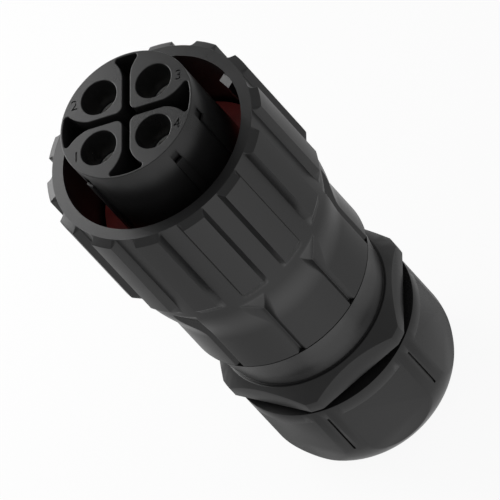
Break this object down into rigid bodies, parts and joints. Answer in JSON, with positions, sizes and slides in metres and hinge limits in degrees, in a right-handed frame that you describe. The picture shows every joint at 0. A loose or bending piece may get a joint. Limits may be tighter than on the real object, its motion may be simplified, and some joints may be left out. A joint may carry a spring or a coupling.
{
  "type": "twist-lock circular connector",
  "caption": "Round black plastic cable connector with a twist-lock coupling ring, numbered socket insert, red face seal and hexagonal cable gland.",
  "frame": {"origin": "centre of the gland nut's flat rear face, at the foot of the axis", "axes": "+Z runs along the connector's axis from the gland nut to the mating face; +Y runs from the axis through the narrow keyed arm of the cross slot; +X completes the right-handed frame"},
  "size_m": [0.0364, 0.0364, 0.081],
  "materials": {
    "black_plastic": "fine-grained moulded glass-filled plastic, satin",
    "red_seal": "soft smooth silicone rubber",
    "black_rubber": "matte moulded rubber",
    "contact_metal": "bright silver-plated brass",
    "spring_steel": "plain bright spring steel"
  },
  "bodies": {
    "root": {"inner_shell": "black_plastic", "contact_insert": "black_plastic", "interface_seal": "red_seal", "backshell": "black_plastic", "clamp_cage": "black_plastic", "cable_grommet": "black_rubber", "socket_contact_1": "contact_metal", "socket_contact_2": "contact_metal", "socket_contact_3": "contact_metal", "socket_contact_4": "contact_metal", "contact_hood_1": "spring_steel", "contact_hood_2": "spring_steel", "contact_hood_3": "spring_steel", "contact_hood_4": "spring_steel", "terminal_screw_1": "spring_steel", "terminal_screw_2": "spring_steel", "terminal_screw_3": "spring_steel", "terminal_screw_4": "spring_steel", "contact_retainer": "black_plastic", "insert_circlip": "spring_steel", "insert_o_ring": "black_rubber", "shell_o_ring": "black_rubber", "wave_washer": "spring_steel"},
    "coupling_ring": {"coupling_ring": "black_plastic"},
    "slip_ring": {"slip_ring": "black_plastic"},
    "gland_nut": {"gland_nut": "black_plastic"}
  },
  "joints": [
    {"name": "ring_lock", "type": "hinge", "parent": "root", "child": "coupling_ring", "pos_m": [0, 0, 0.055], "axis": [0, 0, 1], "range_deg": [0, 30]},
    {"name": "gland_travel", "type": "slide", "parent": "root", "child": "slip_ring", "axis": [0, 0, -1], "range_m": [0, 0.003]},
    {"name": "gland_turn", "type": "hinge", "parent": "slip_ring", "child": "gland_nut", "pos_m": [0, 0, 0.004], "axis": [0, 0, -1], "range_deg": [0, 720]}
  ],
  "couplings": [
    {"joint": "gland_travel", "follows": "gland_turn", "m_per_rad": 0.00023873}
  ]
}
